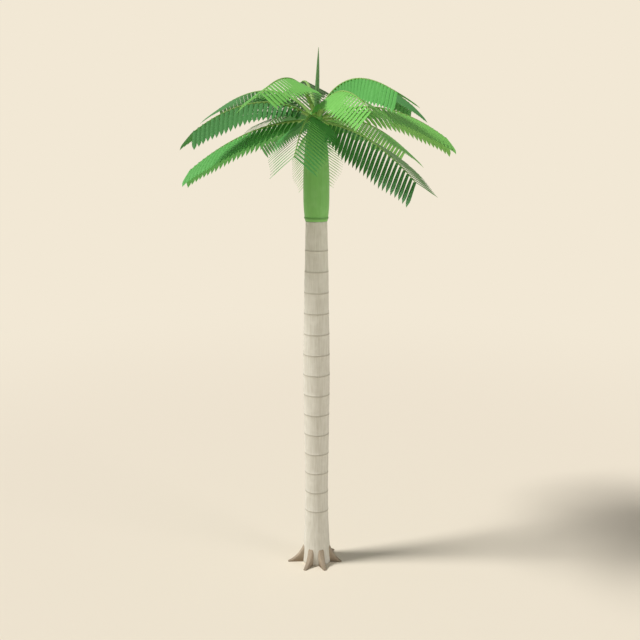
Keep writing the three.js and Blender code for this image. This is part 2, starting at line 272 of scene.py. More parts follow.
root_bark, tree, shader, place = new_finish("rough_root_bark")
height = add_node(tree, "ShaderNodeSeparateXYZ", {"Vector": place}).outputs["Z"]
dampness = add_node(tree, "ShaderNodeMapRange", {
    "Value": height, "From Min": 0.0, "From Max": DAMP_HEIGHT, "To Min": 0.65, "To Max": 0.0})
fibres = add_node(tree, "ShaderNodeTexNoise", {"Vector": place, "Scale": 1 / ROOT_GRAIN, "Detail": 4.0})
dry_root = add_node(tree, "ShaderNodeMix", {
    0: fibres.outputs["Fac"], 6: linear(ROOT_DARK), 7: linear(ROOT_LIGHT)}, data_type="RGBA")
damp_root = add_node(tree, "ShaderNodeMix", {
    0: dampness.outputs["Result"], 6: dry_root.outputs[2], 7: linear(ROOT_DAMP)}, data_type="RGBA")
tree.links.new(damp_root.outputs[2], shader.inputs["Base Color"])
shader.inputs["Roughness"].default_value = 0.9
fibrous = add_node(tree, "ShaderNodeBump", {
    "Height": fibres.outputs["Fac"], "Strength": 0.5, "Distance": 0.004})
tree.links.new(fibrous.outputs["Normal"], shader.inputs["Normal"])
print("root nodes:", len(tree.nodes))

# %% Root flare shapes
# A root is told by its azimuth in degrees and by how far it reaches from the trunk's middle.
ROOTS = [(348, 0.610), (50, 0.640), (115, 0.640), (189, 0.700), (243, 0.630), (290, 0.600)]
ROOT_INNER_RADIUS, ROOT_RISE = 0.250, 0.580
ROOT_BEND_RADIUS, ROOT_BEND_HEIGHT = 0.385, 0.130
ROOT_TIP_HEIGHT = 0.014
ROOT_WIDTH, ROOT_TIP_WIDTH = 0.180, 0.070
ROOT_SQUARENESS = 0.40
ROOT_STEPS, ROOT_POINTS = 30, 24
ROOT_GROOVE_SIZE, ROOT_GROOVE_DEPTH = 0.05, 0.007

share = np.linspace(0, 1, ROOT_STEPS)
ridge_up = bend(share, ROOT_RISE, ROOT_BEND_HEIGHT, ROOT_TIP_HEIGHT)
half_width = (ROOT_WIDTH + (ROOT_TIP_WIDTH - ROOT_WIDTH) * share) / 2
over = np.linspace(0, math.pi, ROOT_POINTS)
aside = np.sign(np.cos(over)) * np.abs(np.cos(over)) ** ROOT_SQUARENESS
lift = np.sin(over) ** ROOT_SQUARENESS
for number, (azimuth, reach) in enumerate(ROOTS, start=1):
    out = np.array([math.cos(math.radians(azimuth)), math.sin(math.radians(azimuth)), 0])
    left = np.array([-out[1], out[0], 0])
    ridge_out = bend(share, ROOT_INNER_RADIUS, ROOT_BEND_RADIUS, reach)
    arches = ridge_out[:, None, None] * out + (half_width[:, None] * aside)[..., None] * left
    arches[..., 2] = ridge_up[:, None] * lift
    grooves = ROOT_GROOVE_DEPTH * lumps(arches, ROOT_GROOVE_SIZE) * lift * (1 - share[:, None])
    arches[..., 2] = np.maximum(arches[..., 2] + grooves, 0)
    root = skin(f"root_flare_bark_{number}", arches[:, ::-1], root_bark)
    settle(root, "root_bark", f"root_flare_{number}")

# %% [markdown]
# ## Crownshaft
# Above the bark stands the crownshaft: the sheaths of all the fronds, rolled round each other into a waxy
# green column. It has a thick collar at its foot and bulges above it. Each sheath ends in a long upright
# edge, which shows as a low step, and fine parallel veins run up it. Separate rolled sheets would hide
# most of themselves, so one column carries the steps as relief, and the veins are noise stretched
# upright.

# %% Finish: waxy leaf sheath
# A live sheath under a coat of wax gives the eye a smooth, half glossy green with a powdery bloom in
# places. Real veins are two or three millimetres apart, too fine to show, so they are drawn wider.
VEIN_WIDTH, VEIN_LENGTH = 0.012, 0.9
BLOOM_SIZE = 0.30
SHEATH_DARK, SHEATH_LIGHT = "#72b554", "#86c86b"
BLOOM_COLOUR, SHEATH_EDGE_COLOUR = "#a0d58b", "#4f8438"

sheath, tree, shader, place = new_finish("waxy_leaf_sheath")
upright = add_node(tree, "ShaderNodeMapping", {"Vector": place, "Scale": (1, 1, VEIN_WIDTH / VEIN_LENGTH)})
veins = add_node(tree, "ShaderNodeTexNoise", {
    "Vector": upright.outputs["Vector"], "Scale": 1 / VEIN_WIDTH, "Detail": 2.0})
bloom = add_node(tree, "ShaderNodeTexNoise", {"Vector": place, "Scale": 1 / BLOOM_SIZE, "Detail": 3.0})
striped = add_node(tree, "ShaderNodeMix", {
    0: veins.outputs["Fac"], 6: linear(SHEATH_DARK), 7: linear(SHEATH_LIGHT)}, data_type="RGBA")
powdered_share = add_node(tree, "ShaderNodeMapRange", {
    "Value": bloom.outputs["Fac"], "From Min": 0.45, "From Max": 0.75, "To Min": 0.0, "To Max": 0.35})
powdered = add_node(tree, "ShaderNodeMix", {
    0: powdered_share.outputs["Result"], 6: striped.outputs[2], 7: linear(BLOOM_COLOUR)}, data_type="RGBA")
collar_line = add_node(tree, "ShaderNodeAttribute", attribute_name="dark_edge").outputs["Fac"]
edged = add_node(tree, "ShaderNodeMix", {
    0: collar_line, 6: powdered.outputs[2], 7: linear(SHEATH_EDGE_COLOUR)}, data_type="RGBA")
tree.links.new(edged.outputs[2], shader.inputs["Base Color"])
print("sheath nodes so far:", len(tree.nodes))

# %% Wax and veins of the sheath
wax = add_node(tree, "ShaderNodeMapRange", {
    "Value": bloom.outputs["Fac"], "From Min": 0.3, "From Max": 0.7, "To Min": 0.38, "To Max": 0.6})
tree.links.new(wax.outputs["Result"], shader.inputs["Roughness"])
veined = add_node(tree, "ShaderNodeBump", {
    "Height": veins.outputs["Fac"], "Strength": 0.35, "Distance": 0.002})
tree.links.new(veined.outputs["Normal"], shader.inputs["Normal"])
print("sheath nodes:", len(tree.nodes))

# %% Outline of the crownshaft
SHAFT_FOOT, SHAFT_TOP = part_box("crownshaft")[0].z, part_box("crownshaft")[1].z
SHAFT_FOOT_RADIUS, SHAFT_BULGE_RADIUS, SHAFT_TOP_RADIUS = 0.246, 0.286, 0.112
SHAFT_BULGE_HEIGHT = 8.930
SHAFT_SWELLING_POWER, SHAFT_CLOSING_POWER = 3, 2.35
COLLAR_HEIGHT, COLLAR_HALF_BAND, COLLAR_PROUD = 8.300, 0.022, 0.014
SHAFT_ROWS = 150

shaft_rows = np.linspace(SHAFT_FOOT, SHAFT_TOP, SHAFT_ROWS)
below = np.clip((SHAFT_BULGE_HEIGHT - shaft_rows) / (SHAFT_BULGE_HEIGHT - TRUNK_TOP), 0, 1)
above = np.clip((shaft_rows - SHAFT_BULGE_HEIGHT) / (SHAFT_TOP - SHAFT_BULGE_HEIGHT), 0, 1)
shaft_radius = SHAFT_BULGE_RADIUS + (SHAFT_FOOT_RADIUS - SHAFT_BULGE_RADIUS) * below**SHAFT_SWELLING_POWER
shaft_radius += (SHAFT_TOP_RADIUS - SHAFT_BULGE_RADIUS) * above**SHAFT_CLOSING_POWER
collar = np.exp(-((shaft_rows - COLLAR_HEIGHT) / COLLAR_HALF_BAND) ** 2)
print("widest radius of the shaft:", shaft_radius.max().round(3))

# %% Crownshaft with its sheath edges
# An edge is told by where it starts round the shaft and how far it drifts with each metre, both in
# radians.
SHEATH_EDGES = [(0.6, 0.30), (2.9, -0.24), (4.9, 0.18)]
SHEATH_STEP, SHEATH_WRAP = 0.006, 2.2
EDGE_SOFTNESS = 0.05
SHAFT_AROUND = 144
COLLAR_DARKNESS = 0.85

turn = np.linspace(0, 2 * math.pi, SHAFT_AROUND, endpoint=False)
sheath_relief = np.zeros((SHAFT_ROWS, SHAFT_AROUND))
for start, drift in SHEATH_EDGES:
    past_edge = np.mod(turn - start - drift * (shaft_rows[:, None] - SHAFT_FOOT), 2 * math.pi)
    step_up = smooth_share(past_edge, 0, EDGE_SOFTNESS)
    sheath_relief += SHEATH_STEP * step_up * np.clip(1 - past_edge / SHEATH_WRAP, 0, 1)
shaft_radii = (shaft_radius + COLLAR_PROUD * collar)[:, None] + sheath_relief
crownshaft = skin("crownshaft_sheath", round_rings(shaft_rows, shaft_radii, SHAFT_AROUND), sheath)
dark_edge = crownshaft.data.attributes.new("dark_edge", "FLOAT", "POINT")
dark_edge.data.foreach_set("value", np.repeat(COLLAR_DARKNESS * collar, SHAFT_AROUND).astype(np.float32))
settle(crownshaft, "leaf_sheath", "crownshaft")

# %% [markdown]
# ## Spear leaf
# The youngest frond stands upright in the middle, still folded like a closed fan. A plain cone would do
# from afar, but up close its pleats run from foot to tip. So the ring of points is wavy rather than round,
# and it turns a little on its way up.

# %% Finish: folded young leaf
# A leaf that has not opened yet gives the eye a satin, streaky green, darker than the fronds in the sun.
YOUNG_DARK, YOUNG_LIGHT = "#4f7e42", "#74a261"

young_leaf, tree, shader, place = new_finish("folded_young_leaf")
upright = add_node(tree, "ShaderNodeMapping", {"Vector": place, "Scale": (1, 1, VEIN_WIDTH / VEIN_LENGTH)})
streaks = add_node(tree, "ShaderNodeTexNoise", {
    "Vector": upright.outputs["Vector"], "Scale": 1 / VEIN_WIDTH, "Detail": 2.0})
spear_green = add_node(tree, "ShaderNodeMix", {
    0: streaks.outputs["Fac"], 6: linear(YOUNG_DARK), 7: linear(YOUNG_LIGHT)}, data_type="RGBA")
tree.links.new(spear_green.outputs[2], shader.inputs["Base Color"])
shader.inputs["Roughness"].default_value = 0.5
pleated = add_node(tree, "ShaderNodeBump", {
    "Height": streaks.outputs["Fac"], "Strength": 0.3, "Distance": 0.002})
tree.links.new(pleated.outputs["Normal"], shader.inputs["Normal"])
print("young leaf nodes:", len(tree.nodes))

# %% Spear leaf shape
SPEAR_FOOT, SPEAR_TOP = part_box("spear_leaf")[0].z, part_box("spear_leaf")[1].z
SPEAR_RADIUS, SPEAR_TIP_RADIUS = 0.054, 0.003
SPEAR_LEAN, SPEAR_TAPER_POWER = 0.049, 2.2
PLEATS, PLEAT_DEPTH, PLEAT_TWIST = 9, 0.16, 1.1
SPEAR_AROUND, SPEAR_ROWS = 72, 60

share = np.linspace(0, 1, SPEAR_ROWS)
spear_radius = SPEAR_RADIUS + (SPEAR_TIP_RADIUS - SPEAR_RADIUS) * share**SPEAR_TAPER_POWER
turn = np.linspace(0, 2 * math.pi, SPEAR_AROUND, endpoint=False)
pleats = 1 - PLEAT_DEPTH * np.abs(np.sin(PLEATS / 2 * (turn + PLEAT_TWIST * share[:, None])))
spear_heights = SPEAR_FOOT + (SPEAR_TOP - SPEAR_FOOT) * share
spear_rings = round_rings(spear_heights, spear_radius[:, None] * pleats, SPEAR_AROUND)
spear_rings[..., 0] += SPEAR_LEAN * share[:, None]
settle(skin("spear_leaf_folded", spear_rings, young_leaf), "young_leaf", "spear_leaf")

# %% [markdown]
# ## Leaf and rib finishes
# The leaflets are tough, smooth and satin, with fine veins. The fronds differ in green, partly by age and
# partly as painted light and shade: lighter greens are painted light on fronds in full sun, and darker
# greens are painted shade on fronds in the shade. One finish could draw its green by chance, but a chosen
# one puts each frond's green where it belongs, so there is one finish for each kind and the fronds share
# them out. The rib that carries the leaflets is smooth, firm and yellower than they are, because the sun
# bleaches it.

# %% Finish: leaflets in five greens
# A grown leaf with a thin waxy skin gives the eye a satin green that mottles softly and shines at a low
# angle. Real veins are a millimetre or two apart, too fine to show, so they are drawn coarser.
LEAF_MOTTLE = 0.06
LEAF_VEIN = 0.010
# The greens run from light to dark. Besides the fronds' age they hold painted light and shade: the lightest
# go on fronds that face the sun, and the darkest are painted shade on fronds that the crown shades or that
# face away.
LEAF_GREENS_WITH_PAINTED_LIGHT = {
    "fresh_painted_sunlit": ("#6fc04e", "#86d062"),
    "ripe": ("#6fb84e", "#86c861"),
    "young": ("#56aa4a", "#69ba5a"),
    "grown": ("#4c9647", "#5ea855"),
    "deep_painted_shade": ("#43853f", "#53954b"),
}


def leaf_finish(age_and_painted_light, dark, light):
    finish, tree, shader, place = new_finish(f"satin_palm_leaf_painted_light_{age_and_painted_light}")
    mottle = add_node(tree, "ShaderNodeTexNoise", {"Vector": place, "Scale": 1 / LEAF_MOTTLE, "Detail": 2.0})
    green = add_node(tree, "ShaderNodeMix", {
        0: mottle.outputs["Fac"], 6: linear(dark), 7: linear(light)}, data_type="RGBA")
    tree.links.new(green.outputs[2], shader.inputs["Base Color"])
    gloss = add_node(tree, "ShaderNodeMapRange", {
        "Value": mottle.outputs["Fac"], "From Min": 0.3, "From Max": 0.7, "To Min": 0.42, "To Max": 0.58})
    tree.links.new(gloss.outputs["Result"], shader.inputs["Roughness"])
    veins = add_node(tree, "ShaderNodeTexNoise", {"Vector": place, "Scale": 1 / LEAF_VEIN, "Detail": 1.0})
    veined = add_node(tree, "ShaderNodeBump", {
        "Height": veins.outputs["Fac"], "Strength": 0.2, "Distance": 0.001})
    tree.links.new(veined.outputs["Normal"], shader.inputs["Normal"])
    return finish


leaf_finishes = {age_and_painted_light: leaf_finish(age_and_painted_light, *pair) for age_and_painted_light, pair in LEAF_GREENS_WITH_PAINTED_LIGHT.items()}
print("leaf finishes:", sorted(leaf_finishes))

# %% Finish: rib bleached by the sun
# A woody rib under a smooth skin gives the eye a firm, dull yellow green line along the crest of each
# frond.
RIB_GRAIN = 0.02
RIB_DARK, RIB_LIGHT = "#7fa850", "#97bf66"

pale_rib, tree, shader, place = new_finish("sun_bleached_frond_rib")
rib_grain = add_node(tree, "ShaderNodeTexNoise", {"Vector": place, "Scale": 1 / RIB_GRAIN, "Detail": 3.0})
rib_colour = add_node(tree, "ShaderNodeMix", {
    0: rib_grain.outputs["Fac"], 6: linear(RIB_DARK), 7: linear(RIB_LIGHT)}, data_type="RGBA")
tree.links.new(rib_colour.outputs[2], shader.inputs["Base Color"])
shader.inputs["Roughness"].default_value = 0.6
grained = add_node(tree, "ShaderNodeBump", {
    "Height": rib_grain.outputs["Fac"], "Strength": 0.3, "Distance": 0.002})
tree.links.new(grained.outputs["Normal"], shader.inputs["Normal"])
print("rib nodes:", len(tree.nodes))

# %% [markdown]
# ## One leaflet
# A leaflet is a long strip that widens to about three quarters of its length and then runs to a point. It
# is folded along its middle like a very low roof and bows a little. A flat card would be cheaper, but it
# has no thickness and no fold to catch the light. So it is modelled once at its full size, as a thin
# closed blade of a few dozen faces, and the fronds shorten it towards their ends.

# %% Leaflet shape
# The fold is a share of the width and the bow is a share of the length.
LEAFLET_LENGTH, LEAFLET_WIDTH = 0.830, 0.097
STATIONS = np.array([0.0, 0.05, 0.15, 0.3, 0.45, 0.6, 0.72, 0.82, 0.9, 0.96, 1.0])
WIDTHS = np.array([0.66, 0.72, 0.78, 0.85, 0.91, 0.97, 1.0, 0.86, 0.50, 0.20, 0.02])
FOLD_SHARE, BOW_SHARE = 0.012, 0.012
BLADE_THICKNESS = 0.007
RIDGE, LEFT_EDGE, KEEL, RIGHT_EDGE = range(4)

crest = 4 * BOW_SHARE * STATIONS * (1 - STATIONS) * LEAFLET_LENGTH
half_widths = WIDTHS / 2 * LEAFLET_WIDTH
leaflet_rings = np.zeros((len(STATIONS), 4, 3))
leaflet_rings[..., 1] = STATIONS[:, None] * LEAFLET_LENGTH
leaflet_rings[..., 2] = crest[:, None]
leaflet_rings[:, LEFT_EDGE, 0] = -half_widths
leaflet_rings[:, RIGHT_EDGE, 0] = half_widths
leaflet_rings[:, RIDGE, 2] += BLADE_THICKNESS / 2
leaflet_rings[:, KEEL, 2] -= BLADE_THICKNESS / 2
leaflet_rings[:, [LEFT_EDGE, RIGHT_EDGE], 2] -= (FOLD_SHARE * WIDTHS * LEAFLET_WIDTH)[:, None]
leaflet = skin("leaflet_pattern", leaflet_rings[:, ::-1], leaf_finishes["grown"])
leaflet.data.polygons.foreach_set("use_smooth", [False] * len(leaflet.data.polygons))

# %% [markdown]
# ## Frond trees
# A frond is a rule: an arching rib, and leaflets in pairs along it that hang to both sides and sweep to
# the tip. Array and Curve modifiers could repeat a leaflet along an arch, but not shorten and turn each
# one by its place, which is what Geometry Nodes are for. One tree draws the rib as a tapered oval along
# the arch, and the other sets the leaflet on points of the same arch and turns each one by the rib's
# direction there. The instances are realized, because only real meshes leave Blender.

# %% Inputs that both trees share
ARCH_INPUTS = [
    ("Seat", "Vector"), ("Knee", "Vector"), ("Tip", "Vector"), ("Side", "Vector"), ("Roll", "Float"),
    ("Finish", "Material")]
ARCH_STEPS = 96


def new_tree(name, extra_inputs):
    tree = bpy.data.node_groups.new(name, "GeometryNodeTree")
    tree.interface.new_socket("Geometry", in_out="OUTPUT", socket_type="NodeSocketGeometry")
    for label, kind in ARCH_INPUTS + extra_inputs:
        tree.interface.new_socket(label, in_out="INPUT", socket_type=f"NodeSocket{kind}")
    given = add_node(tree, "NodeGroupInput").outputs
    curve = add_node(tree, "GeometryNodeCurveQuadraticBezier", {
        "Resolution": ARCH_STEPS, "Start": given["Seat"], "Middle": given["Knee"], "End": given["Tip"]})
    even = add_node(tree, "GeometryNodeResampleCurve", {"Curve": curve.outputs["Curve"], "Count": ARCH_STEPS})
    return tree, given, even.outputs["Curve"]


def finish_tree(tree, geometry, finish):
    real = add_node(tree, "GeometryNodeRealizeInstances", {"Geometry": geometry})
    dressed = add_node(tree, "GeometryNodeSetMaterial", {
        "Geometry": real.outputs["Geometry"], "Material": finish})
    add_node(tree, "NodeGroupOutput", {"Geometry": dressed.outputs["Geometry"]})
    print(tree.name, "nodes:", len(tree.nodes))


print("inputs of both trees:", [label for label, kind in ARCH_INPUTS])

# %% Rib tree
RIB_STEPS, RIB_AROUND = 40, 12

rib_tree, given, arch = new_tree("frond_rib", [
    ("Rib End", "Float"), ("Base Width", "Float"), ("Tip Width", "Float"), ("Flatness", "Float"),
    ("Taper", "Float")])
stem = add_node(rib_tree, "GeometryNodeTrimCurve", {"Curve": arch, 2: 0.0, 3: given["Rib End"]})
steps = add_node(rib_tree, "GeometryNodeResampleCurve", {"Curve": stem.outputs["Curve"], "Count": RIB_STEPS})
upright = add_node(rib_tree, "GeometryNodeSetCurveNormal", {"Curve": steps.outputs["Curve"]}, mode="Z_UP")
rolled = add_node(rib_tree, "GeometryNodeSetCurveTilt", {
    "Curve": upright.outputs["Curve"], "Tilt": given["Roll"]})
along = add_node(rib_tree, "GeometryNodeSplineParameter").outputs["Factor"]
left_over = add_node(rib_tree, "ShaderNodeMath", {0: 1.0, 1: along}, operation="SUBTRACT")
thinning = add_node(rib_tree, "ShaderNodeMath", {
    0: left_over.outputs[0], 1: given["Taper"]}, operation="POWER")
width = add_node(rib_tree, "ShaderNodeMapRange", {
    "Value": thinning.outputs[0], "To Min": given["Tip Width"], "To Max": given["Base Width"]})
oval_size = add_node(rib_tree, "ShaderNodeCombineXYZ", {"X": 0.5, "Y": given["Flatness"], "Z": 0.5})
circle = add_node(rib_tree, "GeometryNodeCurvePrimitiveCircle", {"Resolution": RIB_AROUND, "Radius": 1.0})
oval = add_node(rib_tree, "GeometryNodeTransform", {
    "Geometry": circle.outputs["Curve"], "Scale": oval_size.outputs["Vector"]})
tube = add_node(rib_tree, "GeometryNodeCurveToMesh", {
    "Curve": rolled.outputs["Curve"], "Profile Curve": oval.outputs["Geometry"],
    "Scale": width.outputs["Result"], "Fill Caps": True})
finish_tree(rib_tree, tube.outputs["Mesh"], given["Finish"])

# %% Leaflet tree: points along the rib and the way they face
leaflet_tree, given, arch = new_tree("frond_leaflets", [
    ("Leaflet", "Object"), ("Pairs", "Int"), ("First", "Float"), ("Last", "Float"), ("Base Sweep", "Float"),
    ("Tip Sweep", "Float"), ("Base Hang", "Float"), ("Tip Hang", "Float"), ("Base Share", "Float"),
    ("Full From", "Float"), ("Full To", "Float"), ("Tip Share", "Float"), ("Ruffle", "Float"),
    ("Seed", "Int")])
feathered = add_node(leaflet_tree, "GeometryNodeTrimCurve", {
    "Curve": arch, 2: given["First"], 3: given["Last"]})
roots = add_node(leaflet_tree, "GeometryNodeResampleCurve", {
    "Curve": feathered.outputs["Curve"], "Count": given["Pairs"]}).outputs["Curve"]
way = add_node(leaflet_tree, "GeometryNodeSplineParameter").outputs["Factor"]
along = add_node(leaflet_tree, "GeometryNodeInputTangent").outputs["Tangent"]
turn_over = add_node(leaflet_tree, "FunctionNodeAxisAngleToRotation", {"Axis": along, "Angle": given["Roll"]})
left = add_node(leaflet_tree, "FunctionNodeRotateVector", {
    "Vector": given["Side"], "Rotation": turn_over.outputs["Rotation"]}).outputs["Vector"]
upper = add_node(leaflet_tree, "ShaderNodeVectorMath", {
    0: along, 1: left}, operation="CROSS_PRODUCT").outputs[0]
print("leaflet nodes so far:", len(leaflet_tree.nodes))

# %% Leaflet tree: length along the rib
opening = add_node(leaflet_tree, "ShaderNodeMapRange", {
    "Value": way, "From Max": given["Full From"], "To Min": given["Base Share"], "To Max": 1.0},
    interpolation_type="SMOOTHSTEP")
closing = add_node(leaflet_tree, "ShaderNodeMapRange", {
    "Value": way, "From Min": given["Full To"], "To Min": 1.0, "To Max": given["Tip Share"]},
    interpolation_type="SMOOTHSTEP")
size = add_node(leaflet_tree, "ShaderNodeMath", {
    0: opening.outputs["Result"], 1: closing.outputs["Result"]}, operation="MULTIPLY")
scale = add_node(leaflet_tree, "ShaderNodeCombineXYZ", {"X": 1.0, "Y": size.outputs[0], "Z": 1.0})
print("leaflet nodes so far:", len(leaflet_tree.nodes))

# %% Leaflet tree: sweep to the tip and hang to the ground
sweep = add_node(leaflet_tree, "ShaderNodeMapRange", {
    "Value": way, "To Min": given["Base Sweep"], "To Max": given["Tip Sweep"]}).outputs["Result"]
hang = add_node(leaflet_tree, "ShaderNodeMapRange", {
    "Value": way, "To Min": given["Base Hang"], "To Max": given["Tip Hang"]}).outputs["Result"]
forward = add_node(leaflet_tree, "ShaderNodeMath", {0: sweep}, operation="SINE").outputs[0]
sideways = add_node(leaflet_tree, "ShaderNodeMath", {0: sweep}, operation="COSINE").outputs[0]
level = add_node(leaflet_tree, "ShaderNodeMath", {0: hang}, operation="COSINE").outputs[0]
drop = add_node(leaflet_tree, "ShaderNodeMath", {0: hang}, operation="SINE").outputs[0]
aside = add_node(leaflet_tree, "ShaderNodeMath", {0: sideways, 1: level}, operation="MULTIPLY").outputs[0]
down = add_node(leaflet_tree, "ShaderNodeMath", {0: sideways, 1: drop}, operation="MULTIPLY").outputs[0]
ahead = add_node(leaflet_tree, "ShaderNodeVectorMath", {0: along, 3: forward}, operation="SCALE")
below = add_node(leaflet_tree, "ShaderNodeVectorMath", {0: upper, 3: down}, operation="SCALE")
middle = add_node(leaflet_tree, "ShaderNodeVectorMath", {
    0: ahead.outputs[0], 1: below.outputs[0]}, operation="SUBTRACT").outputs[0]
print("leaflet nodes so far:", len(leaflet_tree.nodes))

# %% Leaflet tree: blades to both hands
# The left hand is 1 and the right hand is -1, and each draws its own ruffle from its own seed.
HAND_SEEDS = {1: 0, -1: 100}

pattern = add_node(leaflet_tree, "GeometryNodeObjectInfo", {"Object": given["Leaflet"]}).outputs["Geometry"]
least_ruffle = add_node(leaflet_tree, "ShaderNodeMath", {
    0: given["Ruffle"], 1: -1.0}, operation="MULTIPLY").outputs[0]
plumage = add_node(leaflet_tree, "GeometryNodeJoinGeometry")
for hand, hand_seed in HAND_SEEDS.items():
    reach = add_node(leaflet_tree, "ShaderNodeMath", {0: aside, 1: hand}, operation="MULTIPLY")
    seed = add_node(leaflet_tree, "ShaderNodeMath", {0: given["Seed"], 1: hand_seed}, operation="ADD")
    beside = add_node(leaflet_tree, "ShaderNodeVectorMath", {0: left, 3: reach.outputs[0]}, operation="SCALE")
    hung = add_node(leaflet_tree, "ShaderNodeVectorMath", {0: middle, 1: beside.outputs[0]}, operation="ADD")
    ruffle = add_node(leaflet_tree, "FunctionNodeRandomValue", {
        0: least_ruffle, 1: given["Ruffle"], "Seed": seed.outputs[0]}, data_type="FLOAT_VECTOR")
    blade = add_node(leaflet_tree, "ShaderNodeVectorMath", {
        0: hung.outputs[0], 1: ruffle.outputs[0]}, operation="ADD")
    turned = add_node(leaflet_tree, "FunctionNodeAxesToRotation", {
        "Primary Axis": blade.outputs[0], "Secondary Axis": (0, 0, 1)}, primary_axis="Y", secondary_axis="Z")
    placed = add_node(leaflet_tree, "GeometryNodeInstanceOnPoints", {
        "Points": roots, "Instance": pattern, "Rotation": turned.outputs["Rotation"],
        "Scale": scale.outputs["Vector"]})
    leaflet_tree.links.new(placed.outputs["Instances"], plumage.inputs["Geometry"])
finish_tree(leaflet_tree, plumage.outputs["Geometry"], given["Finish"])

# %% [markdown]
# ## Fronds
# Each frond is told by a few values: where it points, how steeply its rib rises and falls, its length,
# how far it is rolled over, and its green. From these the ends and the knee of its arch follow, scaled so
# that the arch has its real length along the curve. A palm opens its fronds one by one, each about a
# golden angle further round, so the list runs from the youngest, which sits highest in the crownshaft, to
# the oldest. Chance could place them too, but then two fronds would often cover each other.

# %% The arch of a frond
SEAT_RADIUS, SEAT_LOW, SEAT_HIGH = 0.080, 10.370, 10.550
ARCH_KNEE = 0.43
LENGTH_STEPS = 200


def arch_points(azimuth, rise, fall, length, seat_height):
    out = np.array([math.cos(azimuth), math.sin(azimuth), 0])
    up = np.array([0, 0, 1])
    knee = ARCH_KNEE * (math.cos(rise) * out + math.sin(rise) * up)
    tip = knee + (1 - ARCH_KNEE) * (math.cos(fall) * out - math.sin(fall) * up)
    share = np.linspace(0, 1, LENGTH_STEPS)[:, None]
    line = bend(share, 0, knee, tip)
    scale = length / np.linalg.norm(np.diff(line, axis=0), axis=1).sum()
    seat = SEAT_RADIUS * out + seat_height * up
    return seat, seat + scale * knee, seat + scale * tip


level_frond = arch_points(0, 0, 0, 3, SEAT_LOW)
print("seat, knee and tip of a level frond:", *(point.round(2) for point in level_frond))

# %% Grow a piece by a tree
def grow(name, tree, values):
    carrier = bpy.data.objects.new(name, bpy.data.meshes.new(name))
    bpy.context.scene.collection.objects.link(carrier)
    growth = carrier.modifiers.new("growth", "NODES")
    growth.node_group = tree
    for socket in tree.interface.items_tree:
        if socket.in_out == "INPUT":
            growth[socket.identifier] = values[socket.name]
    carrier.update_tag()
    depsgraph = bpy.context.evaluated_depsgraph_get()
    mesh = bpy.data.meshes.new_from_object(carrier.evaluated_get(depsgraph), depsgraph=depsgraph)
    carrier.modifiers.remove(growth)
    carrier.data = mesh
    mesh.name = name
    print(name, "faces:", len(mesh.polygons))
    return carrier


# %% What each frond is told
# Azimuth, rise and fall in degrees, length along the arch in metres, roll in degrees, and green. The
# green is partly the frond's age and partly painted light and shade, lighter for a frond in the sun and
# darker for one in shade.
FRONDS = [
    (319, 59, 35, 2.800, 8, "young"),
    (104, 58, 42, 3.360, -3, "grown"),
    (248, 49, 33, 3.430, 4, "fresh_painted_sunlit"),
    (26, 56, 40, 3.190, 5, "grown"),
    (149, 45, 34, 3.270, 1, "deep_painted_shade"),
    (293, 40, 37, 3.280, 1, "fresh_painted_sunlit"),
    (74, 40, 44, 3.400, 0, "grown"),
    (208, 30, 41, 3.430, 1, "deep_painted_shade"),
    (356, 26, 42, 3.430, -6, "ripe"),
    (124, 23, 42, 3.220, 11, "grown"),
    (262, 12, 41, 3.500, 3, "grown"),
    (42, 11, 37, 3.520, 6, "ripe"),
    (185, 2, 44, 3.430, 6, "young"),
    (318, -4, 46, 3.450, 14, "deep_painted_shade"),
    (91, -5, 46, 3.450, -9, "ripe"),
]
print("fronds:", len(FRONDS), "longest:", max(length for _, _, _, length, _, _ in FRONDS))

# %% What all fronds share
LEAFLET_RULE = {
    "Leaflet": leaflet, "Pairs": 23, "First": 0.10, "Last": 0.84,
    "Base Sweep": math.radians(22), "Tip Sweep": math.radians(37),
    "Base Hang": math.radians(36), "Tip Hang": math.radians(25),
    "Base Share": 0.65, "Full From": 0.28, "Full To": 0.63, "Tip Share": 0.75, "Ruffle": 0.004,
}
RIB_RULE = {"Rib End": 0.845, "Base Width": 0.120, "Tip Width": 0.022, "Flatness": 0.34, "Taper": 2.0}
print("leaflets on a frond:", 2 * LEAFLET_RULE["Pairs"])

# %% Grow the fronds
for number, (azimuth, rise, fall, length, roll, age_and_painted_light) in enumerate(FRONDS, start=1):
    turn = math.radians(azimuth)
    seat_height = SEAT_HIGH + (SEAT_LOW - SEAT_HIGH) * (number - 1) / (len(FRONDS) - 1)
    seat, knee, tip = arch_points(turn, math.radians(rise), math.radians(fall), length, seat_height)
    side = (-math.sin(turn), math.cos(turn), 0.0)
    own = {"Seat": seat, "Knee": knee, "Tip": tip, "Side": side, "Roll": math.radians(roll), "Seed": number}
    rib = grow(f"frond_rib_{number:02d}", rib_tree, {**RIB_RULE, **own, "Finish": pale_rib})
    rib.data.polygons.foreach_set("use_smooth", [True] * len(rib.data.polygons))
    leaflets = grow(f"frond_leaflets_{number:02d}", leaflet_tree, {
        **LEAFLET_RULE, **own, "Finish": leaf_finishes[age_and_painted_light]})
    settle(rib, "leaf", f"frond_{number:02d}")
    settle(leaflets, "leaf", f"frond_{number:02d}")
bpy.data.objects.remove(leaflet)

# %% [markdown]
# ## Floor, light and camera
# The tree stands on a plain pale floor that fades into a backdrop of the same cream, so that no horizon
# shows. A curved studio wall would do that too, but a tree this tall would need a huge one. A broad soft
# sun high on the left models the forms, a weak fill from the right keeps the shaded sides readable, and
# an even sky lifts the rest. The camera stands a little below the crown's height and looks slightly down.

# %% Floor
FLOOR_RADIUS, FLOOR_POINTS = 400.0, 96

